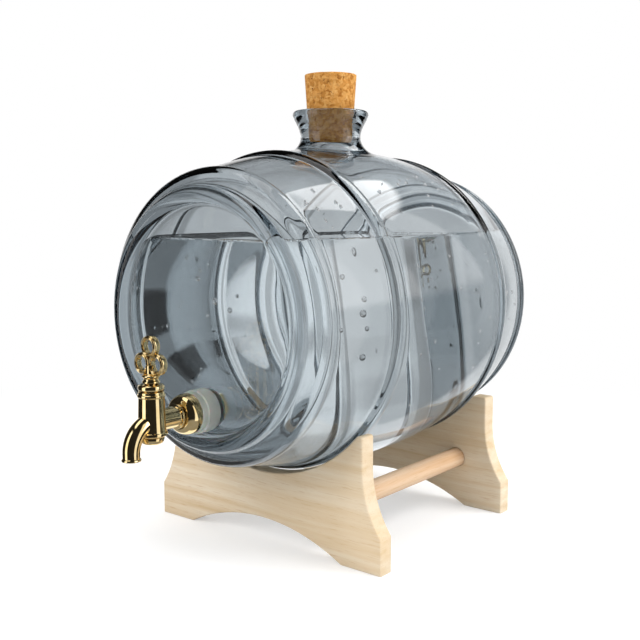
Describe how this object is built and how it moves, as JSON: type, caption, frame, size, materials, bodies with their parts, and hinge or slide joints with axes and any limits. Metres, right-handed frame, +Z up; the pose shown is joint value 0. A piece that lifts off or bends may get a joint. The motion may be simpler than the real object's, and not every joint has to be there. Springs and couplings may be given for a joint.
{
  "type": "glass drinks barrel",
  "caption": "Glass barrel for spirits lying in a wooden cradle, stoppered with a cork in its top neck and emptied through a brass tap in its front head",
  "frame": {"origin": "on the ground, under the middle of the whole thing", "axes": "+Z up; the barrel's axis lies along Y, with the tap at -Y; X runs across the cradle"},
  "size_m": [0.1796, 0.2638, 0.2598],
  "materials": {
    "beech": "pale, sanded, unvarnished",
    "smoky_glass": "clear, polished, smoky blue-grey",
    "cork": "agglomerated cork, matt",
    "silicone": "milky translucent silicone",
    "gold_brass": "polished, gold coloured",
    "seal_rubber": "black, satin"
  },
  "bodies": {
    "cradle": {"front_cradle_board": "beech", "rear_cradle_board": "beech", "left_dowel": "beech", "right_dowel": "beech"},
    "barrel": {"glass_barrel": "smoky_glass", "outer_seal_washer": "silicone", "inner_seal_washer": "silicone", "thrust_washer": "gold_brass", "lock_nut": "gold_brass", "flange_rosette": "gold_brass", "tap_body": "gold_brass", "gland_ring": "gold_brass", "stem_seal": "seal_rubber", "bottom_cap": "gold_brass"},
    "stopper": {"cork_stopper": "cork"},
    "tap_key": {"tap_plug": "gold_brass", "upper_plug_seal": "seal_rubber", "lower_plug_seal": "seal_rubber", "trefoil_handle": "gold_brass", "handle_grub_screw": "gold_brass"}
  },
  "joints": [
    {"name": "barrel_lift", "type": "slide", "parent": "cradle", "child": "barrel", "axis": [0, 0, 1], "range_m": [0, 0.15]},
    {"name": "stopper_lift", "type": "slide", "parent": "barrel", "child": "stopper", "axis": [0, 0, 1], "range_m": [0, 0.06]},
    {"name": "tap_turn", "type": "hinge", "parent": "barrel", "child": "tap_key", "pos_m": [0, -0.11412, 0.08202], "axis": [0, 0, 1], "range_deg": [0, 90]}
  ]
}
